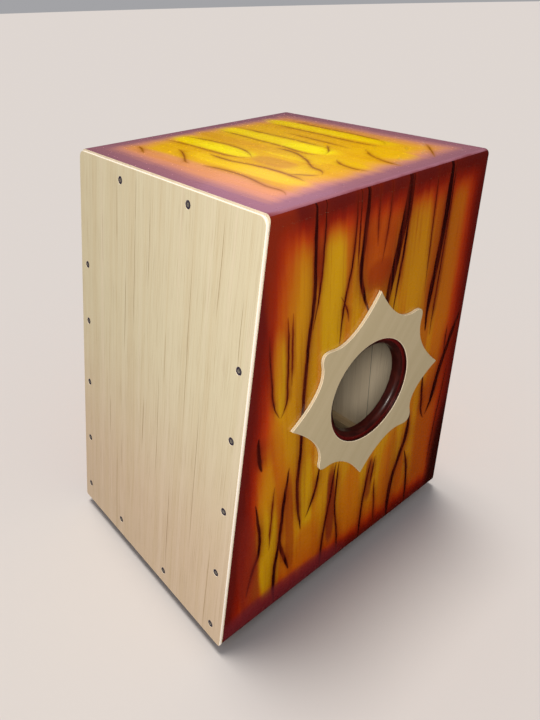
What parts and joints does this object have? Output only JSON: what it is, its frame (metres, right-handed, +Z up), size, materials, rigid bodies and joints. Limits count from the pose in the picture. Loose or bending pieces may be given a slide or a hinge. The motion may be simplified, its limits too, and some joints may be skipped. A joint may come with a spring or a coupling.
{
  "type": "cajon",
  "caption": "Wooden box drum with a leaning front playing face, a round sound hole in one side behind a sun-shaped rosette, rubber feet and a turning inner snare bar.",
  "frame": {"origin": "on the floor, under the middle of the box, between the undersides of the four feet", "axes": "+Z up; +Y to the back, away from the playing face; +X to the side that has the sound hole"},
  "size_m": [0.3238, 0.3959, 0.482],
  "materials": {
    "stained_ply": "glossy lacquer over a red, orange and yellow sunburst stain",
    "bare_wood": "unfinished plywood and softwood",
    "rosette_veneer": "matt light veneer with pale sawn edges",
    "tapa_veneer": "satin straight-grained pale veneer",
    "black_steel": "blackened wood screws",
    "rubber": "moulded black rubber",
    "steel": "zinc-plated screws",
    "dowel": "plain beech dowel",
    "snare_steel": "bright steel wire"
  },
  "bodies": {
    "drum_box": {"top_panel": "stained_ply", "side_panel_sound_hole": "stained_ply", "side_panel_plain": "stained_ply", "back_panel": "stained_ply", "bottom_panel": "bare_wood", "front_batten_left": "bare_wood", "front_batten_right": "bare_wood", "front_batten_top": "bare_wood", "front_batten_bottom": "bare_wood", "back_batten_left": "bare_wood", "back_batten_right": "bare_wood", "back_batten_top": "bare_wood", "back_batten_bottom": "bare_wood", "sun_rosette": "rosette_veneer", "tapa": "tapa_veneer", "tapa_screw_top_1": "black_steel", "tapa_screw_top_2": "black_steel", "tapa_screw_left_1": "black_steel", "tapa_screw_left_2": "black_steel", "tapa_screw_left_3": "black_steel", "tapa_screw_left_4": "black_steel", "tapa_screw_left_5": "black_steel", "tapa_screw_right_1": "black_steel", "tapa_screw_right_2": "black_steel", "tapa_screw_right_3": "black_steel", "tapa_screw_right_4": "black_steel", "tapa_screw_right_5": "black_steel", "tapa_screw_bottom_1": "black_steel", "tapa_screw_bottom_2": "black_steel", "foot_front_left": "rubber", "foot_front_right": "rubber", "foot_back_left": "rubber", "foot_back_right": "rubber", "foot_screw_front_left": "steel", "foot_screw_front_right": "steel", "foot_screw_back_left": "steel", "foot_screw_back_right": "steel"},
    "snare_unit": {"snare_bar": "dowel", "snare_set_left": "snare_steel", "snare_set_right": "snare_steel", "snare_screw_1": "steel", "snare_screw_2": "steel", "snare_screw_3": "steel", "snare_screw_4": "steel"}
  },
  "joints": [
    {"name": "snare_swing", "type": "hinge", "parent": "drum_box", "child": "snare_unit", "pos_m": [0, -0.13034, 0.30463], "axis": [1, 0, 0], "range_deg": [0, 25]}
  ]
}
